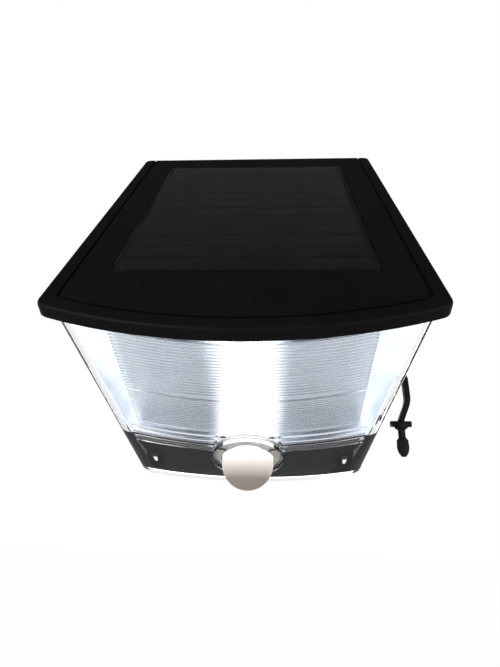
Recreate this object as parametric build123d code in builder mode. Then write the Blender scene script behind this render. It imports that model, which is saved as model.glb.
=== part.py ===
from build123d import *
import os
from math import cos, radians, sin, sqrt, tan

# Wedge-shaped solar motion light for a wall or fence. Millimetres, +Z up, the back of the lamp on
# the XZ plane, the front towards -Y. The origin is the middle of the flat back.
os.makedirs("parts", exist_ok=True)

# ---------------------------------------------------------------- driving dimensions
# Roof lid: a thin plate with a bowed front edge that slopes away from the wall
lid_width = 96.0
lid_length = 129.0
lid_rim = 3.2
lid_bow = 118.0
lid_front_corner = 4.5
lid_back_corner = 2.5
lid_edge_round = 1.0
lid_slope = 32.0
lid_wall_gap = 0.5
groove_inset = 4.0
groove_width = 0.8
groove_depth = 0.5
groove_corner = 3.0

# Solar panel let into the lid
panel_width = 69.3
panel_length = 91.0
panel_back_margin = 12.5
panel_board = 1.2
cell_thickness = 0.25
resin_thickness = 0.55
cell_rows = 12
cell_gap = 0.5
cell_margin = 1.6
panel_clearance = 0.2
solder_slot = (12.0, 3.0)
solder_slot_margin = 6.0

# Body below the lid: tapered sides, a bowed face that leans back, a flat back on the wall
side_overhang = 0.8
front_overhang = 3.4
side_taper = 8.45
face_draft = 11.4
foot_bow = 320.0
body_corner = 5.0
least_corner = 0.8
gasket = 0.8
joint_gasket = 0.8
gasket_inset = 0.25
gasket_width = 1.5
cover_wall = 2.0
housing_wall = 2.0
plate = 2.6
cover_reach = 42.0
cover_lip = 4.0
nest_clearance = 0.3
skirt_depth = 4.0
skirt_wall = 1.5
skirt_end_margin = 24.0
skirt_start = 6.0

# Optics of the clear cover, measured down the face from the lid's rim
band_height = 1.5
band_depth = 0.7
top_bands = (1.7, 4.1)
foot_bands = (47.0, 50.0, 53.0)
band_half = 35.0
band_root = 0.2

# Reflector tray and its light engine
reflector_wall = 1.2
reflector_gap = 0.8
reflector_top = 5.0
reflector_foot = 51.0
reflector_depth = 14.5
led_drop = 29.0
led_window = (10.0, 28.0)
led_stake_radius = 0.9
led_stake_spacing = (14.0, 22.0)
stake_head = 0.6
led_board_size = (18.0, 32.0)
led_board_thickness = 1.2
led_columns = 2
led_rows = 4
led_pitch = (4.4, 7.2)
led_size = (2.8, 3.5)
led_height = 0.8
ear_depth = 7.5
ear_spacing = 40.0
ear_width = 8.0
ear_length = 8.0
ear_thickness = 1.6

# Motion sensor: dome, its seal, holder, sensor can and board, along an axis square to the face
sensor_drop = 55.0
dome_radius = 7.7
dome_wall = 0.7
dome_skirt = 2.4
dome_flange_radius = 9.7
dome_flange = 1.0
seal_thickness = 0.8
collar_radius = 10.7
collar_rise = 1.2
collar_depth = 5.0
collar_clearance = 0.3
holder_seat = 1.6
holder_radius = 8.6
holder_wall = 1.2
holder_length = 5.5
holder_shelf = 1.2
stake_radius = 0.7
stake_spread = 6.2
holder_ear_spacing = 29.0
holder_ear_drop = 3.0
holder_ear_radius = 3.0
holder_ear = 1.6
holder_boss = 1.4
sensor_board = (14.6, 12.0)
sensor_board_thickness = 1.2
sensor_can_radius = 4.6
sensor_can_height = 4.2
sensor_can_clearance = 0.3
sensor_window = (4.0, 3.0)
sensor_window_depth = 0.3
sensor_can_edge = 0.3
pin_radius = 0.25
pin_clearance = 0.1
pin_circle = 2.5
pin_length = 2.0
pin_angles = (30, 150, 270)

# Black base wall behind the lower part of the face
base_inset = 3.0
base_wall = 1.6
base_depth = 54.2
nest_rim = 2.0
nest_rim_wall = 1.5

# Fasteners
screw_radius = 1.25
screw_hole_clearance = 0.1
screw_head_radius = 2.4
screw_head_height = 1.6
head_clearance = 0.3
head_round = 0.5
small_head_round = 0.4
small_screw_radius = 1.0
small_head_radius = 1.9
small_head_height = 1.3
boss_wall = 1.5

# Places on the back plate: in from the lid's side edge, and up from the origin
lid_screw_top_inset = 12.0
lid_screw_top_height = 47.0
lid_screw_front_inset = 14.0
lid_screw_front_height = 1.0
top_meet = 6.5
front_meet = 20.0
top_head_seat = 3.0
front_head_seat = 12.0
top_bite = 3.6
front_bite = 6.0
bite_end = 0.3
cover_screw_inset = 18.0
cover_screw_height = -58.8
cover_post_radius = 2.6
cover_head_seat = 1.7
cover_bite = 6.0

# Keyhole in the back plate
keyhole_height = 36.5
keyhole_radius = 4.2
keyhole_slot_radius = 2.1
keyhole_rise = 7.0
keyhole_depth = 5.5
keyhole_wall = 1.4

# Battery and its clamp
battery_radius = 9.1
battery_length = 65.0
battery_height = 22.0
battery_bed = 0.4
battery_edge = 0.6
cradle_thickness = 2.0
cradle_spacing = 46.0
cradle_rise = 8.0
cradle_height = 16.0
clamp_spacing = 30.0
clamp_width = 7.0
clamp_thickness = 1.3
clamp_foot_length = 6.0
clamp_foot_rise = 7.0
clamp_clearance = 0.1
tab_radius = 4.0
tab_thickness = 0.3
tab_lug = (3.0, 5.0)

# Control board, its parts, the push switch and its button
board_side_gap = 14.7
board_height = 32.0
board_thickness = 1.6
board_centre = -12.5
board_standoff = 5.5
standoff_radius = 2.4
board_hole_inset = 3.5
switch_height = -10.0
switch_body = (9.0, 5.8, 5.8)
plunger_radius = 1.2
plunger_clearance = 0.06
plunger_gap = 2.2
plunger_in_button = 1.4
plunger_in_switch = 4.0
button_radius = 1.7
button_length = 4.6
button_recess = 2.6
button_travel = 1.0
button_edge = 0.4
socket_radius = 2.0

# Pad on the right wall that holds the stopper's anchor and the switch hole
pad_stand = 0.75
pad_half_height = 4.4
anchor_height = -33.0
pad_thickness = 5.0
anchor_shaft_radius = 1.4
anchor_clearance = 0.06
anchor_head_radius = 2.3
anchor_head = 1.0
anchor_gap = 0.3
anchor_flange_radius = 2.6
anchor_flange = 1.2

# Rubber stopper: strap, pull tab, collar, neck and plug
strap_width = 3.2
strap_thickness = 1.6
strap_round = 0.4
strap_points = ((0.0, 0.0), (5.2, -0.6), (5.4, -9.6), (2.6, -16.0))
strap_radii = (2.4, 8.0)
stopper_profile = (
    (0.0, 0.0), (1.5, 0.0), (2.0, 0.6), (2.0, 2.0), (1.1, 2.7), (1.1, 5.0),
    (1.75, 5.9), (1.85, 8.2), (1.5, 9.6), (0.7, 10.8), (0.0, 10.9),
)
pull_tab = (6.4, 1.6)

# Parts and sockets on the control board, across and up
socket_size = (6.0, 4.5)
socket_rise = 4.0
solar_socket = (-6.0, -3.0)
led_socket = (5.0, -17.0)
sensor_socket = (-4.0, -23.0)
battery_socket_inset = 10.0
battery_socket_height = -1.5
driver_chip = (0.0, -9.0)
logic_chip = (-15.0, -14.0)
chip_size = (6.0, 5.0)
chip_rise = 1.6
capacitor_inset = 11.0
capacitor_height = -21.0
capacitor_radius = 3.15
capacitor_rise = 7.0
capacitor_edge = 0.6

# Leads
lead_radius = 0.55
lead_pitch = 1.5
lead_bend = 3.0
lead_drop = 8.0
sensor_lead_row = 4.0

# ---------------------------------------------------------------- shared frames
slope = radians(lid_slope)
draft = radians(face_draft)
taper = radians(side_taper)
protrusion = lid_length * sin(slope) + lid_rim * cos(slope) + lid_wall_gap
face_start = front_overhang - tan(draft) * lid_rim
foot_depth = (protrusion / sin(slope) - face_start) / (1 / tan(slope) + tan(draft))
foot_rise = cos(slope) * (face_start + tan(draft) * foot_depth) - sin(slope) * foot_depth
lid_top_rise = cos(slope) * lid_length
mid_rise = (foot_rise + lid_top_rise) / 2

# On the lid: x across, y from the nose to the back, z out of the lid's top
lid_plane = Plane(
    origin=(0, -protrusion, -mid_rise), x_dir=(1, 0, 0), z_dir=(0, -cos(slope), sin(slope))
)
lid_up = Axis(lid_plane.origin, lid_plane.z_dir)
tub_top = lid_rim + gasket


def lid_point(x, y, z):
    """A place in the lid's own frame, as a place in the lamp's frame."""
    return lid_plane.from_local_coords(Vector(x, y, z))


# On the face: x across, y up the face to the lid's rim, z out of the face
face_out = lid_plane.y_dir * -cos(draft) + lid_plane.z_dir * -sin(draft)
face_plane = Plane(
    origin=lid_point(0, front_overhang, -lid_rim), x_dir=(1, 0, 0), z_dir=face_out
)
foot_height = foot_rise - mid_rise
nose_under = lid_point(0, cover_reach, -tub_top)
lip_point = Vector(0, 0, foot_height + cover_lip)
run = nose_under - lip_point
# The joint between clear cover and black housing, its normal towards the front
joint_plane = Plane(origin=lip_point, x_dir=(1, 0, 0), z_dir=(0, -run.Z, run.Y))


def body_half(depth):
    """Half the body's width at a depth below the lid's top."""
    return lid_width / 2 - side_overhang - tan(taper) * (depth - lid_rim)


def body_outline(depth, inset, front_inset):
    """Plan of the body at a depth below the lid's top, its sides and its front moved in."""
    share = (depth - lid_rim) / (foot_depth - lid_rim)
    top_bow = lid_bow - front_overhang
    bow = top_bow + (foot_bow - top_bow) * share - front_inset
    half = body_half(depth) - inset
    front = face_start + tan(draft) * depth + front_inset
    side = front + bow - sqrt(bow**2 - half**2)
    back = lid_length + protrusion
    with BuildSketch(lid_plane.offset(-depth)) as outline:
        with BuildLine():
            ThreePointArc((-half, side), (0, front), (half, side))
            Polyline((half, side), (half, back), (-half, back), (-half, side))
        make_face()
        corners = outline.vertices().sort_by(Axis.Y)[:2]
        fillet(corners, radius=max(body_corner - inset, least_corner))
    return outline.sketch


def body(inset, top=tub_top, front_inset=None):
    """The body as a solid block from a depth below the lid down to the wall plane."""
    ahead = inset if front_inset is None else front_inset
    with BuildPart() as block:
        foot = body_outline(foot_depth + plate, inset, ahead)
        loft([body_outline(0, inset, ahead), foot], ruled=True)
        split(bisect_by=Plane.XZ, keep=Keep.TOP)
        split(bisect_by=lid_plane.offset(-top), keep=Keep.BOTTOM)
    return block.part


def lid_outline(inset, back, corner):
    """Plan of the lid with its edges moved in by inset, ending at back."""
    half = lid_width / 2 - inset
    bow = lid_bow - inset
    side = inset + bow - sqrt(bow**2 - half**2)
    with BuildSketch(lid_plane) as outline:
        with BuildLine():
            ThreePointArc((-half, side), (0, inset), (half, side))
            Polyline((half, side), (half, back), (-half, back), (-half, side))
        make_face()
        ends = outline.vertices().sort_by(Axis.Y)
        fillet(ends[:2], radius=corner)
    return outline.sketch


# ---------------------------------------------------------------- clear cover
outer_body = body(0)
inner_body = body(cover_wall)
sensor_plane = Plane(
    origin=face_plane.from_local_coords(Vector(0, -sensor_drop, 0)),
    x_dir=(1, 0, 0),
    z_dir=face_plane.z_dir,
)
flange_back = cover_wall + seal_thickness + dome_flange


def both_sides(place):
    """A place and its mirror image across the lamp's middle."""
    return (-place[0], place[1]), place


def pegs(plane, places, radius, start, length):
    """Round bars square to a plane, one at each place, from start along the plane's normal."""
    with BuildPart() as bars:
        with BuildSketch(plane.offset(start)):
            with Locations(*places):
                Circle(radius)
        extrude(amount=length)
    return bars.part


def bar(plane, centre, size, start, length):
    """A rectangular bar square to a plane, from start along the plane's normal."""
    with BuildPart() as made:
        with BuildSketch(plane.offset(start)):
            with Locations(centre):
                Rectangle(*size)
        extrude(amount=length)
    return made.part


def screws(plane, places, seat, length, radius, head_radius, head_height, edge):
    """Pan head screws driven along a plane's normal, their heads seated at seat."""
    with BuildPart() as made:
        add(pegs(plane, places, radius, seat, length))
        add(pegs(plane, places, head_radius, seat, -head_height))
        rims = made.faces().filter_by(Axis((0, 0, 0), plane.z_dir))
        rims = rims.sort_by(Axis((0, 0, 0), plane.z_dir))[: len(places)]
        fillet(rims.edges(), radius=edge)
    return made.part


back_plane = Plane.XZ
screw_hole = screw_radius + screw_hole_clearance
small_hole = small_screw_radius + screw_hole_clearance
head_hole = screw_head_radius + head_clearance
boss_radius = head_hole + boss_wall
lid_post_radius = screw_hole + boss_wall
top_screw = (lid_width / 2 - lid_screw_top_inset, lid_screw_top_height)
front_screw = (lid_width / 2 - lid_screw_front_inset, lid_screw_front_height)
lid_screw_sets = (
    (both_sides(top_screw), top_meet, top_head_seat, top_bite),
    (both_sides(front_screw), front_meet, front_head_seat, front_bite),
)
cover_screws = both_sides((lid_width / 2 - cover_screw_inset, cover_screw_height))


def face_bars(drops, height, depth, half):
    """Bars moulded on the inside of the face, one at each drop, fused a little into its wall."""
    with BuildPart() as bars:
        for drop in drops:
            with BuildSketch(face_plane.offset(cover_wall)) as rung:
                with Locations((0, -drop)):
                    SlotOverall(2 * half, height)
            extrude(amount=-reflector_depth)
        add(body(cover_wall - band_root), mode=Mode.INTERSECT)
        add(body(cover_wall + depth), mode=Mode.SUBTRACT)
    return bars.part


with BuildPart() as cover_shell:
    add(outer_body)
    add(inner_body, mode=Mode.SUBTRACT)
    split(bisect_by=joint_plane, keep=Keep.TOP)
    add(face_bars(top_bands + foot_bands, band_height, band_depth, band_half))
    # Collar round the dome
    with BuildSketch(sensor_plane.offset(-collar_depth)):
        Circle(collar_radius)
    extrude(amount=collar_depth + collar_rise)
    with BuildSketch(sensor_plane.offset(-collar_depth)):
        Circle(dome_flange_radius + collar_clearance / 2)
    extrude(amount=collar_depth - cover_wall, mode=Mode.SUBTRACT)
    with BuildSketch(sensor_plane.offset(-collar_depth)):
        Circle(dome_radius + collar_clearance)
    extrude(amount=2 * collar_depth, mode=Mode.SUBTRACT)
with BuildPart() as cover_posts:
    add(pegs(back_plane, cover_screws, cover_post_radius, plate, protrusion))
    add(body(cover_wall / 2), mode=Mode.INTERSECT)
with BuildPart() as lens_cover:
    add(cover_shell.part)
    add(cover_posts.part)
    add(pegs(back_plane, cover_screws, screw_hole, plate, cover_bite + bite_end), mode=Mode.SUBTRACT)
lens_cover.part.label = "lens_cover"
export_step(lens_cover.part, "parts/lens_cover.step")

# ---------------------------------------------------------------- roof lid
panel_end = lid_length - panel_back_margin
panel_centre = (0, panel_end - panel_length / 2)
panel_depth = panel_board + cell_thickness + resin_thickness
pocket = (panel_width + 2 * panel_clearance, panel_length + 2 * panel_clearance)
groove_in = groove_inset + groove_width
groove_back = lid_length + groove_in
reflector_back = cover_wall + reflector_gap + reflector_depth + reflector_wall
ear_start = front_overhang + tan(draft) * (ear_depth - lid_rim) + reflector_back / cos(draft)
ear_places = both_sides((ear_spacing / 2, ear_start + ear_length / 2))
skirt_inset = housing_wall + nest_clearance
skirt_front = cover_reach + skirt_start
skirt_length = lid_length - skirt_end_margin - skirt_front
pad_bite = ear_depth - lid_rim - bite_end
solder_slot_place = (0, panel_end - panel_length + solder_slot_margin)

with BuildPart() as groove:
    extrude(lid_outline(groove_inset, groove_back, groove_corner), amount=-groove_depth)
    extrude(lid_outline(groove_in, groove_back, groove_corner), amount=-groove_depth, mode=Mode.SUBTRACT)
with BuildPart() as lid_rails:
    add(body(skirt_inset, lid_rim))
    add(body(skirt_inset + skirt_wall, lid_rim), mode=Mode.SUBTRACT)
    rail_centre = (0, skirt_front + skirt_length / 2)
    add(
        bar(lid_plane, rail_centre, (lid_width, skirt_length), -lid_rim, -skirt_depth),
        mode=Mode.INTERSECT,
    )
with BuildPart() as lid_posts:
    for places, meet, seat, bite in lid_screw_sets:
        add(pegs(back_plane, places, lid_post_radius, meet, protrusion))
    split(bisect_by=lid_plane.offset(-(panel_depth + lid_rim) / 2), keep=Keep.BOTTOM)
    for places, meet, seat, bite in lid_screw_sets:
        add(pegs(back_plane, places, screw_hole, meet, bite + bite_end), mode=Mode.SUBTRACT)
with BuildPart() as roof_lid:
    extrude(lid_outline(0, lid_length, lid_front_corner), amount=-lid_rim)
    upright = roof_lid.edges().filter_by(Axis((0, 0, 0), lid_plane.z_dir))
    fillet(upright.sort_by(Axis.Z)[-2:], radius=lid_back_corner)
    fillet(roof_lid.faces().sort_by(lid_up)[-1].edges(), radius=lid_edge_round)
    add(groove.part, mode=Mode.SUBTRACT)
    add(bar(lid_plane, panel_centre, pocket, 0, -panel_depth), mode=Mode.SUBTRACT)
    add(bar(lid_plane, solder_slot_place, solder_slot, 0, -lid_rim), mode=Mode.SUBTRACT)
    add(lid_rails.part)
    add(lid_posts.part)
    for place in ear_places:
        add(bar(lid_plane, place, (ear_width, ear_length), -panel_depth, panel_depth - ear_depth))
    add(pegs(lid_plane, ear_places, small_hole, -ear_depth, pad_bite), mode=Mode.SUBTRACT)
roof_lid.part.label = "roof_lid"
export_step(roof_lid.part, "parts/roof_lid.step")

with BuildPart() as seal_hole:
    add(body(gasket_inset + gasket_width, lid_rim))
    split(bisect_by=back_plane.offset(plate), keep=Keep.TOP)
with BuildPart() as lid_seal:
    add(body(gasket_inset, lid_rim))
    split(bisect_by=lid_plane.offset(-tub_top), keep=Keep.TOP)
    add(seal_hole.part, mode=Mode.SUBTRACT)
lid_seal.part.label = "lid_seal"
export_step(lid_seal.part, "parts/lid_seal.step")

# ---------------------------------------------------------------- solar panel
panel_size = (panel_width, panel_length)
with BuildPart() as solar_board:
    add(bar(lid_plane, panel_centre, panel_size, -panel_depth, panel_board))
solar_board.part.label = "solar_board"
export_step(solar_board.part, "parts/solar_board.step")

cell_space = panel_length - 2 * cell_margin
cell_size = (panel_width - 2 * cell_margin, (cell_space + cell_gap) / cell_rows - cell_gap)
with BuildPart() as solar_cells:
    with BuildSketch(lid_plane.offset(-panel_depth + panel_board)):
        with Locations(panel_centre):
            with GridLocations(0, cell_size[1] + cell_gap, 1, cell_rows):
                Rectangle(*cell_size)
    extrude(amount=cell_thickness)
solar_cells.part.label = "solar_cells"
export_step(solar_cells.part, "parts/solar_cells.step")

with BuildPart() as solar_window:
    add(bar(lid_plane, panel_centre, panel_size, panel_board - panel_depth, panel_depth - panel_board))
    add(solar_cells.part, mode=Mode.SUBTRACT)
solar_window.part.label = "solar_window"
export_step(solar_window.part, "parts/solar_window.step")

# ---------------------------------------------------------------- rear housing
nest = cover_wall + nest_clearance
board_back = plate + board_standoff
board_face = board_back + board_thickness
pad_depth = board_face + switch_body[1] / 2
switch_drop = -lid_plane.to_local_coords(Vector(0, -pad_depth, switch_height)).Z
pad_face = body_half(switch_drop) + pad_stand
board_width = 2 * (pad_face - board_side_gap)
board_holes = [
    (x, board_centre + z)
    for x in (-board_width / 2 + board_hole_inset, board_width / 2 - board_hole_inset)
    for z in (-board_height / 2 + board_hole_inset, board_height / 2 - board_hole_inset)
]
battery_depth = plate + battery_bed + battery_radius
battery_plane = Plane(origin=(0, -battery_depth, battery_height), x_dir=(0, 1, 0), z_dir=(1, 0, 0))
clamp_bore = battery_radius + clamp_clearance
clamp_half = clamp_bore + clamp_thickness
clamp_reach = clamp_half + clamp_foot_length
clamp_holes = [
    (x, battery_height + z)
    for x in (-clamp_spacing / 2, clamp_spacing / 2)
    for z in (clamp_foot_length / 2 - clamp_reach, clamp_reach - clamp_foot_length / 2)
]
side_plane = Plane(origin=(0, 0, 0), x_dir=(0, 1, 0), z_dir=(1, 0, 0))
pad_inner = pad_face - pad_thickness
anchor_place = (-pad_depth, anchor_height)
button_place = (-pad_depth, switch_height)
anchor_hole = anchor_shaft_radius + anchor_clearance
anchor_room = anchor_head_radius + 2 * anchor_gap
centre = ((0, 0),)
holder_back = flange_back + holder_seat + holder_length
ear_face = base_inset + base_wall + holder_boss
holder_ears = ((-holder_ear_spacing / 2, -holder_ear_drop), (holder_ear_spacing / 2, -holder_ear_drop))
post_room = cover_post_radius + 2 * nest_clearance
collar_room = collar_radius + 2 * nest_clearance

with BuildPart() as housing_hollow:
    add(body(housing_wall))
    split(bisect_by=back_plane.offset(plate), keep=Keep.TOP)
with BuildPart() as housing_shell:
    add(outer_body)
    add(housing_hollow.part, mode=Mode.SUBTRACT)
    split(bisect_by=joint_plane.offset(-joint_gasket), keep=Keep.BOTTOM)
with BuildPart() as plate_nose:
    add(body(nest))
    split(bisect_by=back_plane.offset(plate), keep=Keep.BOTTOM)
with BuildPart() as nest_wall:
    add(body(nest))
    add(body(nest + nest_rim_wall), mode=Mode.SUBTRACT)
    split(bisect_by=back_plane.offset(plate + nest_rim), keep=Keep.BOTTOM)
    add(pegs(sensor_plane, centre, collar_room, -collar_depth - nest_clearance, collar_depth),
        mode=Mode.SUBTRACT)
with BuildPart() as base:
    add(body(base_inset, base_depth))
    add(body(base_inset + base_wall, base_depth), mode=Mode.SUBTRACT)
    add(pegs(back_plane, cover_screws, post_room, plate, protrusion), mode=Mode.SUBTRACT)
    add(pegs(sensor_plane, holder_ears, small_hole + boss_wall, -ear_face, holder_boss + base_wall / 2))
    add(pegs(sensor_plane, holder_ears, small_hole, -ear_face, ear_face), mode=Mode.SUBTRACT)
    add(pegs(sensor_plane, centre, collar_room, -holder_back, holder_back), mode=Mode.SUBTRACT)
with BuildPart() as keyhole_box:
    with BuildSketch(back_plane.offset(plate)):
        with Locations((0, keyhole_height + keyhole_rise / 2)):
            SlotCenterToCenter(keyhole_rise, 2 * (keyhole_radius + keyhole_wall), rotation=90)
    extrude(amount=keyhole_depth - plate + keyhole_wall)
with BuildPart() as keyhole_cut:
    with BuildSketch(back_plane.offset(plate)):
        with Locations((0, keyhole_height + keyhole_rise / 2)):
            SlotCenterToCenter(keyhole_rise, 2 * keyhole_radius, rotation=90)
    extrude(amount=keyhole_depth - plate)
    with BuildSketch(back_plane):
        with Locations((0, keyhole_height)):
            Circle(keyhole_radius)
        with Locations((0, keyhole_height + keyhole_rise / 2)):
            SlotCenterToCenter(keyhole_rise, 2 * keyhole_slot_radius, rotation=90)
    extrude(amount=plate)
with BuildPart() as cradle:
    for side in (-1, 1):
        place = (side * cradle_spacing / 2, battery_height)
        add(bar(back_plane, place, (cradle_thickness, cradle_height), plate, cradle_rise))
    add(pegs(battery_plane, centre, clamp_bore, -battery_length, 2 * battery_length),
        mode=Mode.SUBTRACT)
with BuildPart() as side_pad:
    with BuildSketch(side_plane.offset(pad_inner)):
        with Locations((-pad_depth, (anchor_height + switch_height) / 2)):
            SlotCenterToCenter(switch_height - anchor_height, 2 * pad_half_height, rotation=90)
    extrude(amount=pad_thickness)
with BuildPart() as rear_housing:
    add(housing_shell.part)
    add(plate_nose.part)
    add(nest_wall.part)
    add(pegs(back_plane, cover_screws, post_room, plate, nest_rim), mode=Mode.SUBTRACT)
    add(base.part)
    add(cradle.part)
    add(keyhole_box.part)
    add(keyhole_cut.part, mode=Mode.SUBTRACT)
    for places, meet, seat, bite in lid_screw_sets:
        add(pegs(back_plane, places, boss_radius, plate / 2, meet - plate / 2))
        add(pegs(back_plane, places, head_hole, 0, seat), mode=Mode.SUBTRACT)
        add(pegs(back_plane, places, screw_hole, 0, meet), mode=Mode.SUBTRACT)
    add(pegs(back_plane, cover_screws, head_hole, 0, cover_head_seat), mode=Mode.SUBTRACT)
    add(pegs(back_plane, cover_screws, screw_hole, 0, plate), mode=Mode.SUBTRACT)
    for places, top in ((board_holes, board_back), (clamp_holes, clamp_foot_rise)):
        add(pegs(back_plane, places, standoff_radius, plate / 2, top - plate / 2))
        add(pegs(back_plane, places, small_hole, plate, top - plate), mode=Mode.SUBTRACT)
    add(side_pad.part)
    add(pegs(side_plane, (anchor_place,), anchor_hole, pad_inner, pad_thickness), mode=Mode.SUBTRACT)
    add(pegs(side_plane, (anchor_place,), anchor_room, pad_inner - pad_thickness, pad_thickness),
        mode=Mode.SUBTRACT)
    add(pegs(side_plane, (button_place,), socket_radius, pad_inner - pad_thickness, 2 * pad_thickness),
        mode=Mode.SUBTRACT)
rear_housing.part.label = "rear_housing"
export_step(rear_housing.part, "parts/rear_housing.step")

with BuildPart() as joint_seals:
    add(body(gasket_inset))
    add(body(gasket_inset + gasket_width), mode=Mode.SUBTRACT)
    split(bisect_by=joint_plane, keep=Keep.BOTTOM)
    split(bisect_by=joint_plane.offset(-joint_gasket), keep=Keep.TOP)
joint_seals.part.label = "joint_seals"
export_step(joint_seals.part, "parts/joint_seals.step")

# ---------------------------------------------------------------- reflector and its light engine
tray_inset = cover_wall + reflector_gap
tray_inner = tray_inset + reflector_wall
floor_plane = Plane(
    origin=face_plane.from_local_coords(Vector(0, -reflector_foot, 0)),
    x_dir=(1, 0, 0),
    z_dir=face_plane.y_dir,
)
led_centre = (0, -led_drop)
led_stakes = [
    (side * led_stake_spacing[0] / 2, -led_drop + end * led_stake_spacing[1] / 2)
    for side in (-1, 1)
    for end in (-1, 1)
]
with BuildPart() as tray_block:
    add(body(tray_inset, reflector_top))
    split(bisect_by=face_plane.offset(-reflector_back), keep=Keep.TOP)
    split(bisect_by=floor_plane.offset(-reflector_wall), keep=Keep.TOP)
with BuildPart() as tray_hollow:
    add(body(tray_inner, reflector_top + reflector_wall, 0))
    split(bisect_by=face_plane.offset(reflector_wall - reflector_back), keep=Keep.TOP)
    split(bisect_by=floor_plane, keep=Keep.TOP)
tray_room = collar_radius + 2 * collar_clearance
with BuildPart() as tray_scallop:
    add(pegs(sensor_plane, centre, tray_room + reflector_wall, -reflector_back, reflector_back))
    add(tray_block.part, mode=Mode.INTERSECT)
with BuildPart() as reflector:
    add(tray_block.part)
    add(tray_hollow.part, mode=Mode.SUBTRACT)
    add(tray_scallop.part)
    add(bar(face_plane, led_centre, led_window, -reflector_back, reflector_wall), mode=Mode.SUBTRACT)
    add(pegs(sensor_plane, centre, tray_room, 2 * reflector_wall - reflector_back, reflector_back),
        mode=Mode.SUBTRACT)
    add(pegs(back_plane, cover_screws, post_room, plate, protrusion), mode=Mode.SUBTRACT)
    for place in ear_places:
        root = (place[0], place[1] - reflector_wall / 2)
        ear_size = (ear_width, ear_length + reflector_wall)
        add(bar(lid_plane, root, ear_size, -ear_depth, -ear_thickness))
    add(pegs(lid_plane, ear_places, small_hole, -ear_depth, -ear_thickness), mode=Mode.SUBTRACT)
    add(pegs(face_plane, led_stakes, led_stake_radius, -reflector_back, -led_board_thickness))
    add(pegs(face_plane, led_stakes, led_stake_radius + stake_head,
             -reflector_back - led_board_thickness, -stake_head))
reflector.part.label = "reflector"
export_step(reflector.part, "parts/reflector.step")

with BuildPart() as led_board:
    add(bar(face_plane, led_centre, led_board_size, -reflector_back, -led_board_thickness))
    add(pegs(face_plane, led_stakes, led_stake_radius + pin_clearance, -reflector_back,
             -led_board_thickness), mode=Mode.SUBTRACT)
led_board.part.label = "led_board"
export_step(led_board.part, "parts/led_board.step")

with BuildPart() as leds:
    with BuildSketch(face_plane.offset(-reflector_back)):
        with Locations(led_centre):
            with GridLocations(*led_pitch, led_columns, led_rows):
                Rectangle(*led_size)
    extrude(amount=led_height)
leds.part.label = "leds"
export_step(leds.part, "parts/leds.step")

# ---------------------------------------------------------------- motion sensor
sensor_axis = Axis(sensor_plane.origin, sensor_plane.z_dir)
section_plane = Plane(
    origin=sensor_plane.origin, x_dir=(1, 0, 0), z_dir=-sensor_plane.y_dir
)
dome_inner = dome_radius - dome_wall
flange_front = dome_flange - flange_back
stakes = ((-stake_spread, 0), (stake_spread, 0))
with BuildPart() as pir_dome:
    with BuildSketch(section_plane):
        with BuildLine():
            CenterArc((0, dome_skirt), dome_radius, 0, 90)
            Line((0, dome_skirt + dome_radius), (0, dome_skirt + dome_inner))
            CenterArc((0, dome_skirt), dome_inner, 0, 90)
            Polyline(
                (dome_inner, dome_skirt),
                (dome_inner, -flange_back),
                (dome_flange_radius, -flange_back),
                (dome_flange_radius, flange_front),
                (dome_radius, flange_front),
                (dome_radius, dome_skirt),
            )
        make_face()
    revolve(axis=sensor_axis)
pir_dome.part.label = "pir_dome"
export_step(pir_dome.part, "parts/pir_dome.step")

with BuildPart() as dome_seal:
    with BuildSketch(sensor_plane.offset(-cover_wall)):
        Circle(dome_flange_radius)
        Circle(dome_radius + collar_clearance, mode=Mode.SUBTRACT)
    extrude(amount=-seal_thickness)
dome_seal.part.label = "dome_seal"
export_step(dome_seal.part, "parts/dome_seal.step")

with BuildPart() as pir_holder:
    add(pegs(sensor_plane, centre, dome_flange_radius, -flange_back, -holder_seat))
    add(pegs(sensor_plane, centre, holder_radius, -flange_back, flange_back - holder_back))
    add(bar(sensor_plane, (0, -holder_ear_drop), (holder_ear_spacing, 2 * holder_ear_radius),
            -ear_face, -holder_ear))
    add(pegs(sensor_plane, holder_ears, holder_ear_radius, -ear_face, -holder_ear))
    add(pegs(sensor_plane, holder_ears, small_hole, -ear_face, -holder_ear), mode=Mode.SUBTRACT)
    add(pegs(sensor_plane, centre, holder_radius - holder_wall, holder_shelf - holder_back,
             holder_back), mode=Mode.SUBTRACT)
    add(pegs(sensor_plane, centre, sensor_can_radius + sensor_can_clearance, -holder_back,
             holder_back), mode=Mode.SUBTRACT)
    add(pegs(sensor_plane, stakes, stake_radius, -holder_back, -sensor_board_thickness - stake_head))
pir_holder.part.label = "pir_holder"
export_step(pir_holder.part, "parts/pir_holder.step")

pins = [
    (pin_circle * cos(radians(angle)), pin_circle * sin(radians(angle)))
    for angle in pin_angles
]
can_top = sensor_can_height - holder_back
with BuildPart() as pir_sensor:
    add(pegs(sensor_plane, centre, sensor_can_radius, -holder_back, sensor_can_height))
    fillet(pir_sensor.faces().sort_by(sensor_axis)[-1].edges(), radius=sensor_can_edge)
    add(bar(sensor_plane, (0, 0), sensor_window, can_top, -sensor_window_depth), mode=Mode.SUBTRACT)
    add(pegs(sensor_plane, pins, pin_radius, -holder_back, -pin_length))
pir_sensor.part.label = "pir_sensor"
export_step(pir_sensor.part, "parts/pir_sensor.step")

with BuildPart() as sensor_card:
    add(bar(sensor_plane, (0, 0), sensor_board, -holder_back, -sensor_board_thickness))
    add(pegs(sensor_plane, stakes, stake_radius + pin_clearance, -holder_back,
             -sensor_board_thickness), mode=Mode.SUBTRACT)
    add(pegs(sensor_plane, pins, pin_radius + pin_clearance, -holder_back,
             -sensor_board_thickness), mode=Mode.SUBTRACT)
sensor_card.part.label = "sensor_board"
export_step(sensor_card.part, "parts/sensor_board.step")

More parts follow.
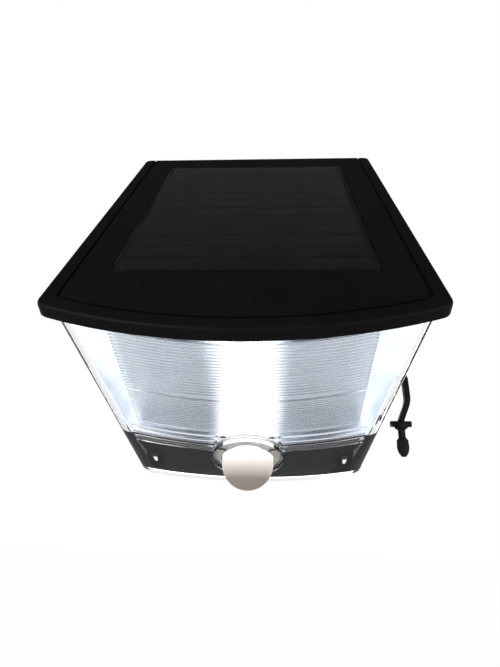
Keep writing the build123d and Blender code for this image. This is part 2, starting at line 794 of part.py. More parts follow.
# ---------------------------------------------------------------- battery and its clamps
with BuildPart() as battery_cell:
    add(pegs(battery_plane, centre, battery_radius, -battery_length / 2, battery_length))
    ends = battery_cell.faces().filter_by(Axis.X)
    fillet(ends.edges(), radius=battery_edge)
battery_cell.part.label = "battery_cell"
export_step(battery_cell.part, "parts/battery_cell.step")

with BuildPart() as battery_tabs:
    for side in (-1, 1):
        end = side * battery_length / 2
        add(pegs(battery_plane, centre, tab_radius, end, side * tab_thickness))
        add(bar(battery_plane, (0, -tab_radius), tab_lug, end, side * tab_thickness))
battery_tabs.part.label = "battery_tabs"
export_step(battery_tabs.part, "parts/battery_tabs.step")

foot_line = battery_depth - clamp_foot_rise
with BuildPart() as battery_clamps:
    for x in (-clamp_spacing / 2, clamp_spacing / 2):
        with BuildSketch(battery_plane.offset(x - clamp_width / 2)):
            Circle(clamp_half)
            with Locations((foot_line / 2, 0)):
                Rectangle(foot_line, 2 * clamp_half)
            with Locations((foot_line - clamp_thickness / 2, 0)):
                Rectangle(clamp_thickness, 2 * clamp_reach)
            Circle(clamp_bore, mode=Mode.SUBTRACT)
            with Locations((battery_depth / 2, 0)):
                Rectangle(battery_depth, 2 * clamp_bore, mode=Mode.SUBTRACT)
            with Locations((foot_line + clamp_half / 2, 0)):
                Rectangle(clamp_half, 2 * clamp_reach, mode=Mode.SUBTRACT)
        extrude(amount=clamp_width)
    add(pegs(back_plane, clamp_holes, small_hole, 0, battery_depth), mode=Mode.SUBTRACT)
battery_clamps.part.label = "battery_clamps"
export_step(battery_clamps.part, "parts/battery_clamps.step")

# ---------------------------------------------------------------- control board and switch
battery_socket = (board_width / 2 - battery_socket_inset, battery_socket_height)
battery_sockets = both_sides(battery_socket)
capacitor = (board_width / 2 - capacitor_inset, capacitor_height)
with BuildPart() as control_board:
    add(bar(back_plane, (0, board_centre), (board_width, board_height), board_back, board_thickness))
    add(pegs(back_plane, board_holes, small_hole, board_back, board_thickness), mode=Mode.SUBTRACT)
control_board.part.label = "control_board"
export_step(control_board.part, "parts/control_board.step")

with BuildPart() as board_chips:
    for place in (driver_chip, logic_chip):
        add(bar(back_plane, place, chip_size, board_face, chip_rise))
board_chips.part.label = "board_chips"
export_step(board_chips.part, "parts/board_chips.step")

with BuildPart() as board_capacitor:
    add(pegs(back_plane, (capacitor,), capacitor_radius, board_face, capacitor_rise))
    fillet(board_capacitor.faces().sort_by(Axis.Y)[0].edges(), radius=capacitor_edge)
board_capacitor.part.label = "board_capacitor"
export_step(board_capacitor.part, "parts/board_capacitor.step")

with BuildPart() as board_sockets:
    for place in (solar_socket, led_socket, sensor_socket) + battery_sockets:
        add(bar(back_plane, place, socket_size, board_face, socket_rise))
board_sockets.part.label = "board_sockets"
export_step(board_sockets.part, "parts/board_sockets.step")

button_face = pad_face - button_recess
button_inner = button_face - button_length
switch_face = button_inner - plunger_gap
plunger_tip = switch_face - plunger_in_switch
with BuildPart() as power_switch:
    add(bar(side_plane, button_place, switch_body[1:], switch_face, -switch_body[0]))
    add(pegs(side_plane, (button_place,), plunger_radius + plunger_clearance, switch_face,
             -plunger_in_switch - 2 * button_travel), mode=Mode.SUBTRACT)
power_switch.part.label = "power_switch"
export_step(power_switch.part, "parts/power_switch.step")

with BuildPart() as switch_plunger:
    plunger_length = plunger_in_switch + plunger_gap + plunger_in_button
    add(pegs(side_plane, (button_place,), plunger_radius, plunger_tip, plunger_length))
switch_plunger.part.label = "switch_plunger"
export_step(switch_plunger.part, "parts/switch_plunger.step")

with BuildPart() as power_button:
    add(pegs(side_plane, (button_place,), button_radius, button_inner, button_length))
    fillet(power_button.faces().sort_by(Axis.X)[-1].edges(), radius=button_edge)
    add(pegs(side_plane, (button_place,), plunger_radius, button_inner, plunger_in_button),
        mode=Mode.SUBTRACT)
power_button.part.label = "power_button"
export_step(power_button.part, "parts/power_button.step")

# ---------------------------------------------------------------- rubber stopper on its strap
flange_start = pad_face + anchor_gap
strap_start = flange_start + anchor_flange
strap_plane = Plane(
    origin=(strap_start, strap_width / 2 - pad_depth, anchor_height), x_dir=(1, 0, 0), z_dir=(0, -1, 0)
)
plug_top = (strap_start + strap_points[-1][0], anchor_height + strap_points[-1][1])
plug_plane = Plane(origin=(plug_top[0], -pad_depth, plug_top[1]), x_dir=(1, 0, 0), z_dir=(0, -1, 0))
plug_axis = Axis(plug_plane.origin, (0, 0, -1))
with BuildPart() as strap:
    with BuildSketch(strap_plane):
        with BuildLine() as strap_route:
            FilletPolyline(*strap_points, radius=strap_radii)
        trace(line_width=strap_thickness)
    extrude(amount=strap_width)
    fillet(strap.edges().filter_by(Axis.Y, reverse=True), radius=strap_round)
with BuildPart() as plug:
    with BuildSketch(plug_plane):
        with BuildLine():
            Polyline(*[(radius, -drop) for radius, drop in stopper_profile], close=True)
        make_face()
    revolve(axis=plug_axis)
with BuildPart() as stopper:
    add(strap.part)
    add(plug.part)
    add(bar(plug_plane.offset(-pull_tab[1] / 2), (0, -pull_tab[1] / 2), pull_tab, 0, pull_tab[1]))
    add(pegs(side_plane, (anchor_place,), anchor_flange_radius, flange_start, anchor_flange))
    add(pegs(side_plane, (anchor_place,), anchor_shaft_radius, pad_inner - anchor_gap,
             pad_thickness + 2 * anchor_gap))
    add(pegs(side_plane, (anchor_place,), anchor_head_radius, pad_inner - anchor_gap, -anchor_head))
stopper.part.label = "stopper"
export_step(stopper.part, "parts/stopper.step")

# ---------------------------------------------------------------- screws
drive_plane = Plane(origin=(0, 0, 0), x_dir=(-1, 0, 0), z_dir=(0, 1, 0))
large = (screw_radius, screw_head_radius, screw_head_height, head_round)
small = (small_screw_radius, small_head_radius, small_head_height, small_head_round)
with BuildPart() as lid_screws:
    for places, meet, seat, bite in lid_screw_sets:
        add(screws(back_plane, places, seat, meet - seat + bite, *large))
lid_screws.part.label = "lid_screws"
export_step(lid_screws.part, "parts/lid_screws.step")

with BuildPart() as cover_fixings:
    add(screws(back_plane, cover_screws, cover_head_seat, plate - cover_head_seat + cover_bite, *large))
cover_fixings.part.label = "cover_screws"
export_step(cover_fixings.part, "parts/cover_screws.step")

with BuildPart() as reflector_screws:
    add(screws(lid_plane, ear_places, -ear_depth - ear_thickness,
               ear_thickness + pad_bite - bite_end, *small))
reflector_screws.part.label = "reflector_screws"
export_step(reflector_screws.part, "parts/reflector_screws.step")

with BuildPart() as holder_screws:
    add(screws(sensor_plane, holder_ears, -ear_face - holder_ear, holder_ear + holder_boss + base_wall / 2,
               *small))
holder_screws.part.label = "holder_screws"
export_step(holder_screws.part, "parts/holder_screws.step")

with BuildPart() as board_screws:
    add(screws(drive_plane, board_holes, -board_face, board_face - plate - bite_end, *small))
board_screws.part.label = "board_screws"
export_step(board_screws.part, "parts/board_screws.step")

with BuildPart() as clamp_screws:
    clamp_face = clamp_foot_rise + clamp_thickness
    add(screws(drive_plane, clamp_holes, -clamp_face, clamp_face - plate - bite_end, *small))
clamp_screws.part.label = "clamp_screws"
export_step(clamp_screws.part, "parts/clamp_screws.step")


# ---------------------------------------------------------------- leads
def wire(points, bend):
    """One round lead along straight runs joined by arcs."""
    with BuildPart() as made:
        with BuildLine() as route:
            FilletPolyline(*points, radius=bend)
        with BuildSketch(Plane(origin=route.line @ 0, z_dir=route.line % 0)):
            Circle(lead_radius)
        sweep()
    return made.part


def rows(count):
    """Places of side by side leads about the middle."""
    return [lead_pitch * (index - (count - 1) / 2) for index in range(count)]


socket_front = board_face + socket_rise
with BuildPart() as solar_lead:
    for across in rows(2):
        x = solar_socket[0] + across
        under = lid_point(across, solder_slot_place[1], -panel_depth)
        below = lid_point(across, solder_slot_place[1], -panel_depth - lead_drop)
        before = (x, -socket_front - lead_drop, solar_socket[1])
        add(wire([under, below, before, (x, -socket_front, solar_socket[1])], lead_bend))
solar_lead.part.label = "solar_lead"
export_step(solar_lead.part, "parts/solar_lead.step")

with BuildPart() as led_lead:
    for across in rows(2):
        x = led_socket[0] + across
        start = face_plane.from_local_coords(
            Vector(across, -led_drop, -reflector_back - led_board_thickness)
        )
        above = start - face_plane.z_dir * lead_drop
        before = (x, -socket_front - lead_drop / 2, led_socket[1])
        add(wire([start, above, before, (x, -socket_front, led_socket[1])], lead_bend))
led_lead.part.label = "led_lead"
export_step(led_lead.part, "parts/led_lead.step")

with BuildPart() as sensor_lead:
    for across in rows(3):
        x = sensor_socket[0] + across
        start = sensor_plane.from_local_coords(
            Vector(across, -sensor_lead_row, -holder_back - sensor_board_thickness)
        )
        above = start - sensor_plane.z_dir * lead_drop
        before = (x, -socket_front - lead_drop / 2, sensor_socket[1])
        add(wire([start, above, before, (x, -socket_front, sensor_socket[1])], lead_bend / 2))
sensor_lead.part.label = "sensor_lead"
export_step(sensor_lead.part, "parts/sensor_lead.step")

with BuildPart() as battery_leads:
    for side in (-1, 1):
        x = side * (battery_length / 2 + tab_thickness + lead_radius)
        low = battery_height - tab_radius - tab_lug[1] / 2
        points = [
            (x, -battery_depth, low + tab_lug[1]),
            (x, -battery_depth, low - lead_drop / 2),
            (side * battery_socket[0], -socket_front - lead_drop / 2, battery_socket[1] + lead_drop / 2),
            (side * battery_socket[0], -socket_front - lead_drop / 2, battery_socket[1]),
            (side * battery_socket[0], -socket_front, battery_socket[1]),
        ]
        add(wire(points, lead_bend / 2))
battery_leads.part.label = "battery_leads"
export_step(battery_leads.part, "parts/battery_leads.step")
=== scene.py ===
from math import cos, pi, radians, sin

import bpy
from mathutils import Matrix, Vector


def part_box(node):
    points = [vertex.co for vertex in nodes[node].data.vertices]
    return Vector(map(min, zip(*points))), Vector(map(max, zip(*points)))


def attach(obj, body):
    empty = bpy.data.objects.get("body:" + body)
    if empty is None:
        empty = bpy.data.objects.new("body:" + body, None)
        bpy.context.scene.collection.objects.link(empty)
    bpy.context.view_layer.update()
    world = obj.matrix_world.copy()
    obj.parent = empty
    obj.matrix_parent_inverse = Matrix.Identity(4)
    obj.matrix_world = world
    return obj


# Solar motion light for a wall or fence, seen from below and in front with its LEDs lit.
# Metres; the back lies on the XZ plane and the front looks towards -Y.
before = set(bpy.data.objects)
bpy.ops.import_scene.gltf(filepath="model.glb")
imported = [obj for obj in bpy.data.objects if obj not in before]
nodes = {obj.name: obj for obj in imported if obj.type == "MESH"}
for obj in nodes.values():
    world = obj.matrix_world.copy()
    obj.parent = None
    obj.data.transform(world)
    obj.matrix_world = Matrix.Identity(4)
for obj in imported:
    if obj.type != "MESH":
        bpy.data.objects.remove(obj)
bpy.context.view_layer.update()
MM = 0.001

# ---------------------------------------------------------------- camera
# A phone's wide camera, held close below the lamp's nose and tilted up at its face.
eye = Vector((7.01, -160.27, -80.43)) * MM
aim = Vector((1.69, -54.16, -36.43)) * MM
camera_roll = radians(1.326)
camera_lens = 25.107
camera_sensor = 36.0
camera_near = 10 * MM
camera_data = bpy.data.cameras.new("camera")
camera_data.lens = camera_lens
camera_data.sensor_width = camera_sensor
camera_data.clip_start = camera_near
camera = bpy.data.objects.new("camera", camera_data)
turn = (aim - eye).to_track_quat("-Z", "Y").to_matrix().to_4x4()
camera.matrix_world = Matrix.Translation(eye) @ turn @ Matrix.Rotation(camera_roll, 4, "Z")
bpy.context.scene.collection.objects.link(camera)
bpy.context.scene.camera = camera
bpy.context.scene.view_settings.view_transform = "Standard"


# ---------------------------------------------------------------- room
# White all round for the camera and for what is seen through the clear cover. Gloss sees the same
# white at the sides and a dim ceiling, and what lights the lamp is softer.
def wire(tree, start, end):
    """Joins an output socket to an input socket of the same node tree."""
    tree.links.new(start, end)


def new_node(tree, kind, **values):
    """A node with its settings, and its sockets by name with _ for a space, filled in."""
    made = tree.nodes.new(kind)
    for name, value in values.items():
        socket = made.inputs.get(name.replace("_", " "))
        if socket is not None:
            socket.default_value = value
        else:
            setattr(made, name, value)
    return made


def see_white(tree, light, white, glossy):
    """White for camera rays, rays through glass and, where glossy says so, reflected rays."""
    path = new_node(tree, "ShaderNodeLightPath")
    seen = new_node(tree, "ShaderNodeMath", operation="MAXIMUM")
    wire(tree, path.outputs["Is Camera Ray"], seen.inputs[0])
    wire(tree, path.outputs["Is Transmission Ray"], seen.inputs[1])
    first = new_node(tree, "ShaderNodeMixShader")
    wire(tree, path.outputs["Is Glossy Ray"], first.inputs[0])
    wire(tree, light, first.inputs[1])
    wire(tree, glossy, first.inputs[2])
    last = new_node(tree, "ShaderNodeMixShader")
    wire(tree, seen.outputs[0], last.inputs[0])
    wire(tree, first.outputs[0], last.inputs[1])
    wire(tree, white, last.inputs[2])
    return last.outputs[0]


sky_light = 0.55
sky_ceiling = 0.05
sky_sides = 0.45
ceiling_start = 0.80
sides_end = 0.10
room = bpy.data.worlds.new("white_room")
room.use_nodes = True
room_tree = room.node_tree
room_light = room_tree.nodes["Background"]
room_light.inputs["Color"].default_value = (1, 1, 1, 1)
room_light.inputs["Strength"].default_value = sky_light
room_white = new_node(room_tree, "ShaderNodeBackground", Color=(1, 1, 1, 1), Strength=1.0)
room_gloss = new_node(room_tree, "ShaderNodeBackground", Color=(1, 1, 1, 1))
around = new_node(room_tree, "ShaderNodeTexCoord")
height = new_node(room_tree, "ShaderNodeSeparateXYZ")
fade = new_node(room_tree, "ShaderNodeMapRange", From_Min=sides_end, From_Max=ceiling_start,
                To_Min=sky_sides, To_Max=sky_ceiling, interpolation_type="SMOOTHSTEP")
wire(room_tree, around.outputs["Generated"], height.inputs[0])
wire(room_tree, height.outputs["Z"], fade.inputs["Value"])
wire(room_tree, fade.outputs["Result"], room_gloss.inputs["Strength"])
seen_room = see_white(
    room_tree, room_light.outputs[0], room_white.outputs[0], room_gloss.outputs[0]
)
wire(room_tree, seen_room, room_tree.nodes["World Output"].inputs["Surface"])
bpy.context.scene.world = room

floor_colour = (0.9, 0.9, 0.9, 1)
floor_roughness = 0.9
floor_height = -0.40
floor_size = 12.0
floor_whitening = 0.98
floor_mirrored = 0.30
bpy.ops.object.select_all(action="DESELECT")
bpy.ops.mesh.primitive_plane_add(size=floor_size, location=(0, 0, floor_height))
floor = bpy.context.active_object
floor.name = "floor"
floor_paint = bpy.data.materials.new("pale_floor")
floor_paint.use_nodes = True
floor_tree = floor_paint.node_tree
floor_shader = floor_tree.nodes["Principled BSDF"]
floor_shader.inputs["Base Color"].default_value = floor_colour
floor_shader.inputs["Roughness"].default_value = floor_roughness
floor_glow = new_node(floor_tree, "ShaderNodeEmission", Color=(1, 1, 1, 1), Strength=1.0)
floor_mix = new_node(floor_tree, "ShaderNodeMixShader")
floor_mix.inputs[0].default_value = floor_whitening
wire(floor_tree, floor_shader.outputs[0], floor_mix.inputs[1])
wire(floor_tree, floor_glow.outputs[0], floor_mix.inputs[2])
floor_gloss = new_node(
    floor_tree, "ShaderNodeEmission", Color=(1, 1, 1, 1), Strength=floor_mirrored
)
seen_floor = see_white(
    floor_tree, floor_shader.outputs[0], floor_mix.outputs[0], floor_gloss.outputs[0]
)
wire(floor_tree, seen_floor, floor_tree.nodes["Material Output"].inputs["Surface"])
floor.data.materials.append(floor_paint)

# Three soft boxes: place, width and power in watts, each turned to the lamp's middle
lamp_middle = Vector((0, -35, 0)) * MM
soft_boxes = (
    ("key_light", (-0.55, -0.75, 0.15), 0.7, 4.0),
    ("fill_light", (0.75, -0.55, -0.15), 0.7, 2.0),
    ("back_light", (0.10, 0.80, 0.35), 0.8, 3.0),
)
for name, place, width, power in soft_boxes:
    light = bpy.data.lights.new(name, "AREA")
    light.size = width
    light.energy = power
    soft_box = bpy.data.objects.new(name, light)
    soft_box.location = place
    soft_box.rotation_euler = (lamp_middle - Vector(place)).to_track_quat("-Z", "Y").to_euler()
    bpy.context.scene.collection.objects.link(soft_box)


# ---------------------------------------------------------------- roof lid
# One moulding in UV-stable black: a thin sloping plate with a rounded rim, a drip groove and
# screw posts below. Satin, with the fine grain of a spark-eroded mould.
def finish(name, colour, roughness, **sockets):
    """A new material with what is the same all over it set on the shader's own sockets."""
    made = bpy.data.materials.new(name)
    made.use_nodes = True
    shader = made.node_tree.nodes["Principled BSDF"]
    shader.inputs["Base Color"].default_value = (*colour, 1)
    shader.inputs["Roughness"].default_value = roughness
    for socket, value in sockets.items():
        shader.inputs[socket.replace("_", " ")].default_value = value
    return made


def shader_of(made):
    """The main shader of a finish."""
    return made.node_tree.nodes["Principled BSDF"]


def object_noise(made, size, detail=2.0, stretch=(1, 1, 1)):
    """Noise on Object coordinates with features of about this size in metres."""
    tree = made.node_tree
    place = new_node(tree, "ShaderNodeTexCoord")
    sized = new_node(tree, "ShaderNodeMapping", Scale=tuple(part / size for part in stretch))
    noise = new_node(tree, "ShaderNodeTexNoise", Scale=1.0, Detail=detail)
    wire(tree, place.outputs["Object"], sized.inputs["Vector"])
    wire(tree, sized.outputs["Vector"], noise.inputs["Vector"])
    return noise.outputs["Fac"]


def bump(made, height, depth, strength=1.0):
    """Relief from a height between 0 and 1, depth metres deep, on top of any relief before it."""
    tree = made.node_tree
    relief = new_node(tree, "ShaderNodeBump", Strength=strength, Distance=depth)
    wire(tree, height, relief.inputs["Height"])
    target = shader_of(made).inputs["Normal"]
    if target.is_linked:
        wire(tree, target.links[0].from_socket, relief.inputs["Normal"])
    wire(tree, relief.outputs["Normal"], target)


def ramp(made, value, start, end, low=0.0, high=1.0, shape="LINEAR"):
    """A number that goes from low to high as a value goes from start to end."""
    spread = new_node(made.node_tree, "ShaderNodeMapRange", From_Min=start, From_Max=end,
                      To_Min=low, To_Max=high, interpolation_type=shape)
    wire(made.node_tree, value, spread.inputs["Value"])
    return spread.outputs["Result"]


noise_low = 0.3
noise_high = 0.7


def vary(made, socket, factor, low, high):
    """Runs a socket from low to high over the usual reach of noise, in numbers or colours."""
    tree = made.node_tree
    target = shader_of(made).inputs[socket]
    if isinstance(low, tuple):
        mix = new_node(tree, "ShaderNodeMix", data_type="RGBA")
        wire(tree, ramp(made, factor, noise_low, noise_high), mix.inputs["Factor"])
        mix.inputs[6].default_value = (*low, 1)
        mix.inputs[7].default_value = (*high, 1)
        wire(tree, mix.outputs[2], target)
    else:
        wire(tree, ramp(made, factor, noise_low, noise_high, low, high), target)


def dress(name, made):
    """Gives a CAD node's object a new finish."""
    for slot in nodes[name].material_slots:
        slot.material = made


black_satin = finish("black_satin", (0.006, 0.006, 0.007), 0.42, Specular_IOR_Level=0.08)
vary(black_satin, "Roughness", object_noise(black_satin, 9 * MM, 4.0), 0.36, 0.50)
vary(black_satin, "Base Color", object_noise(black_satin, 22 * MM, 5.0),
     (0.0040, 0.0040, 0.0048), (0.0065, 0.0065, 0.0072))
bump(black_satin, object_noise(black_satin, 0.28 * MM, 2.0), 0.012 * MM)
dress("roof_lid", black_satin)

# ---------------------------------------------------------------- seals
# Closed-cell sponge strips, die cut, pressed between lid and body and in the joint of cover and
# housing, and a ring of milky silicone under the dome's flange.
sponge = finish("grey_sponge", (0.20, 0.20, 0.20), 0.9, Specular_IOR_Level=0.2)
vary(sponge, "Base Color", object_noise(sponge, 0.5 * MM, 3.0),
     (0.13, 0.13, 0.13), (0.27, 0.27, 0.27))
bump(sponge, object_noise(sponge, 0.35 * MM, 3.0), 0.08 * MM)
for name in ("lid_seal", "joint_seals"):
    dress(name, sponge)
silicone = finish("milky_silicone", (0.62, 0.62, 0.60), 0.5, Subsurface_Weight=0.3,
                  Subsurface_Scale=0.001)
bump(silicone, object_noise(silicone, 0.5 * MM, 2.0), 0.02 * MM)
dress("dome_seal", silicone)

# ---------------------------------------------------------------- solar panel
# Blue-black silicon strips with fine printed fingers on a black laminate board, cast under clear
# epoxy that is glossy, faintly wavy and set flush with the lid.
def maths(made, operation, *values):
    """A Math node on sockets or numbers, in their order."""
    sum_node = new_node(made.node_tree, "ShaderNodeMath", operation=operation)
    for socket, value in zip(sum_node.inputs, values):
        if isinstance(value, float):
            socket.default_value = value
        else:
            wire(made.node_tree, value, socket)
    return sum_node.outputs[0]


def bands(made, direction, pitch, share):
    """Lines square to a direction: 1 on a share of each pitch, 0 between them."""
    tree = made.node_tree
    place = new_node(tree, "ShaderNodeTexCoord")
    along = new_node(tree, "ShaderNodeVectorMath", operation="DOT_PRODUCT")
    along.inputs[1].default_value = direction
    wire(tree, place.outputs["Object"], along.inputs[0])
    turns = maths(made, "DIVIDE", along.outputs["Value"], pitch)
    return maths(made, "LESS_THAN", maths(made, "FRACT", turns), share)


finger_pitch = 2.2 * MM
finger_share = 0.06
silicon = finish("silicon_strips", (0.008, 0.010, 0.018), 0.35, Specular_IOR_Level=0.4)
vary(silicon, "Base Color", bands(silicon, (1, 0, 0), finger_pitch, finger_share),
     (0.0030, 0.0031, 0.0038), (0.0060, 0.0061, 0.0070))
dress("solar_cells", silicon)

black_laminate = finish("black_laminate", (0.006, 0.006, 0.0065), 0.5, Specular_IOR_Level=0.1)
bump(black_laminate, object_noise(black_laminate, 0.4 * MM, 1.0), 0.01 * MM)
dress("solar_board", black_laminate)

epoxy = finish("clear_epoxy", (0.20, 0.20, 0.21), 0.06, Transmission_Weight=1.0, IOR=1.33)
vary(epoxy, "Roughness", object_noise(epoxy, 14 * MM, 4.0), 0.03, 0.20)
bump(epoxy, object_noise(epoxy, 9 * MM, 3.0, (1.6, 0.6, 0.6)), 0.22 * MM, 0.8)
dress("solar_window", epoxy)

# ---------------------------------------------------------------- clear cover
# Injection-moulded clear polycarbonate, open at the back and under the lid, with a polished
# outside and faint flow lines in its walls.
clear = finish("clear_polycarbonate", (0.965, 0.98, 1.0), 0.02, Transmission_Weight=1.0, IOR=1.49)
bump(clear, object_noise(clear, 6 * MM, 2.0), 0.02 * MM, 0.4)
dress("lens_cover", clear)

# Fine ribs moulded on the inside of the face, across it: a wide band of coarse ones and a band of
# finer ones below it. They draw the light of the LEDs out, up and down the face.
lid_slope = radians(32.0)
face_turn = radians(11.4)
face_lean = lid_slope - face_turn
face_down = Vector((0, cos(face_lean), -sin(face_lean)))
face_out = Vector((0, -sin(face_lean), -cos(face_lean)))
face_rim = Vector((0, -67.1, -41.49)) * MM
rib_half = 32 * MM
rib_steps = 6
rib_column = 2.5 * MM
rib_backing = 0.25 * MM
rib_gap = 0.04 * MM
rib_start_depth = 12 * MM


def face_ribs(name, start, pitch, count, depth):
    """A ribbed strip across the inside of the cover's face, from start down the face."""
    length = pitch * count
    width = 2 * rib_half
    centre = face_rim + face_down * (start + length / 2) - face_out * rib_start_depth
    bpy.ops.object.select_all(action="DESELECT")
    bpy.ops.mesh.primitive_grid_add(
        x_subdivisions=round(width / rib_column), y_subdivisions=count * rib_steps, size=1.0
    )
    ribs = bpy.context.active_object
    ribs.name = name
    ribs.matrix_world = Matrix.Translation(centre) @ Matrix((
        (width, 0, 0, 0),
        (0, -face_down.y * length, face_out.y, 0),
        (0, -face_down.z * length, face_out.z, 0),
        (0, 0, 0, 1),
    ))
    wrap = ribs.modifiers.new("wrap", "SHRINKWRAP")
    wrap.target = nodes["lens_cover"]
    wrap.wrap_method = "PROJECT"
    wrap.use_project_z = True
    bpy.ops.object.modifier_apply(modifier="wrap")
    bpy.ops.object.transform_apply()
    bpy.ops.object.mode_set(mode="EDIT")
    bpy.ops.mesh.select_all(action="SELECT")
    bpy.ops.transform.translate(value=-face_out * rib_gap)
    bpy.ops.mesh.extrude_region_move(TRANSFORM_OT_translate={"value": -face_out * rib_backing})
    bpy.ops.object.mode_set(mode="OBJECT")
    for vertex in ribs.data.vertices:
        if vertex.select:
            row = round(((vertex.co - face_rim).dot(face_down) - start) / pitch * rib_steps)
            vertex.co -= face_out * depth * sin(pi * (row % rib_steps) / rib_steps)
    bpy.ops.object.mode_set(mode="EDIT")
    bpy.ops.mesh.select_all(action="SELECT")
    bpy.ops.mesh.normals_make_consistent(inside=False)
    bpy.ops.object.mode_set(mode="OBJECT")
    ribs.data.materials.append(clear)
    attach(ribs, "lamp")


# Name, start down the face, pitch, number and height of each band's ribs
for name, start, pitch, count, depth in (
    ("upper_ribs", 5.6 * MM, 1.15 * MM, 19, 0.30 * MM),
    ("lower_ribs", 28.2 * MM, 0.85 * MM, 18, 0.20 * MM),
):
    face_ribs(name, start, pitch, count, depth)

# ---------------------------------------------------------------- reflector
# A thin moulded tray behind the face, vacuum-metallised bright, with painted bluish light where it
# would mirror the LEDs.
mirror = finish("metallising_painted_glow", (0.56, 0.61, 0.68), 0.24, Metallic=1.0)
vary(mirror, "Roughness", object_noise(mirror, 9 * MM, 3.0), 0.16, 0.24)
bump(mirror, object_noise(mirror, 7 * MM, 1.0), 0.02 * MM, 0.4)
dress("reflector", mirror)


def paint_light(made, strength, colour):
    """Paints light on a finish as emission, as strong as a socket says, though the part is no
    lamp.
    """
    shader = shader_of(made)
    shader.inputs["Emission Color"].default_value = (*colour, 1)
    wire(made.node_tree, strength, shader.inputs["Emission Strength"])


def object_axis(made, axis):
    """One of the Object coordinates: X, Y or Z."""
    place = new_node(made.node_tree, "ShaderNodeTexCoord")
    axes = new_node(made.node_tree, "ShaderNodeSeparateXYZ")
    wire(made.node_tree, place.outputs["Object"], axes.inputs[0])
    return axes.outputs[axis]


# Painted light on the metallising, as emission: what it would throw back beside the LEDs' rows,
# and on the tray's side walls.
painted_glow_half = 13.5 * MM
painted_glow_core = 3 * MM
painted_glow_strength = 1.8
painted_side_glow_start = 33 * MM
painted_side_glow_full = 35 * MM
painted_side_glow = 0.55
aside = maths(mirror, "ABSOLUTE", object_axis(mirror, "X"))
paint_light(mirror, maths(
    mirror, "ADD",
    ramp(mirror, aside, painted_glow_half, painted_glow_core, 0.0, painted_glow_strength, "SMOOTHERSTEP"),
    ramp(mirror, aside, painted_side_glow_start, painted_side_glow_full, 0.0, painted_side_glow),
), (0.92, 0.96, 1.0))

# ---------------------------------------------------------------- light engine
# White LEDs, lit, soldered to a white-masked board heat-staked to the back of the tray.
led_power = 90.0
led_colour = (0.93, 0.97, 1.0, 1)
phosphor = finish("lit_phosphor", (1.0, 0.93, 0.7), 0.5, Emission_Color=led_colour,
                  Emission_Strength=led_power)
bump(phosphor, object_noise(phosphor, 0.3 * MM, 2.0), 0.02 * MM)
dress("leds", phosphor)
white_mask = finish("white_mask", (0.75, 0.75, 0.73), 0.4, Coat_Weight=0.2)
vary(white_mask, "Base Color", object_noise(white_mask, 1.8 * MM, 0.0),
     (0.70, 0.70, 0.68), (0.80, 0.80, 0.79))
dress("led_board", white_mask)

# ---------------------------------------------------------------- motion sensor
# A milky polyethylene dome with faint lens facets inside, a white holder that presses it against
# its seal, and the sensor's steel can on a small black board.
facet_scale = 260.0
milky = finish("milky_polyethylene", (0.34, 0.31, 0.27), 0.38, Subsurface_Weight=0.7,
               Subsurface_Scale=0.002, IOR=1.5)
facets = new_node(milky.node_tree, "ShaderNodeTexVoronoi", feature="DISTANCE_TO_EDGE",
                  Scale=facet_scale)
facet_place = new_node(milky.node_tree, "ShaderNodeTexCoord")
wire(milky.node_tree, facet_place.outputs["Object"], facets.inputs["Vector"])
bump(milky, facets.outputs["Distance"], 0.10 * MM, 0.5)

# Painted light on the dome: emission for the LEDs' light that the dome takes in at its root, from
# where it starts to where it is full, as shares of the dome's height.
dome_low, dome_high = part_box("pir_dome")
dome_height = dome_high[2] - dome_low[2]
painted_dome_glow = 1.0
painted_dome_glow_start = 0.18
painted_dome_glow_full = 0.60
paint_light(milky, ramp(
    milky, object_axis(milky, "Z"),
    dome_low[2] + painted_dome_glow_start * dome_height,
    dome_low[2] + painted_dome_glow_full * dome_height,
    0.0, painted_dome_glow,
), (1.0, 0.98, 0.94))
dress("pir_dome", milky)
dress("pir_holder", white_mask)
can_steel = finish("can_steel", (0.62, 0.61, 0.58), 0.28, Metallic=1.0)
vary(can_steel, "Roughness", object_noise(can_steel, 2 * MM, 3.0), 0.22, 0.36)
dress("pir_sensor", can_steel)
dress("sensor_board", black_laminate)

# ---------------------------------------------------------------- rear housing
# The black back shell, with a coarser mould texture than the lid: back plate, side walls,
# screw posts, the base behind the face's foot, and the pad for the switch on the right.
black_casing = finish("black_casing", (0.014, 0.014, 0.015), 0.5, Specular_IOR_Level=0.08)
vary(black_casing, "Roughness", object_noise(black_casing, 8 * MM, 4.0), 0.42, 0.60)
vary(black_casing, "Base Color", object_noise(black_casing, 18 * MM, 5.0),
     (0.011, 0.011, 0.012), (0.019, 0.019, 0.020))
bump(black_casing, object_noise(black_casing, 0.45 * MM, 2.0), 0.025 * MM)

# Fine steps across the base, where the housing comes forward behind the face's foot.
step_pitch = 1.1 * MM
step_share = 0.5
step_depth = 0.20 * MM
base_line = -45 * MM
base_front = maths(black_casing, "LESS_THAN", object_axis(black_casing, "Y"), base_line)
base_steps = bands(black_casing, tuple(face_down), step_pitch, step_share)
bump(black_casing, maths(black_casing, "MULTIPLY", base_front, base_steps), step_depth)
dress("rear_housing", black_casing)

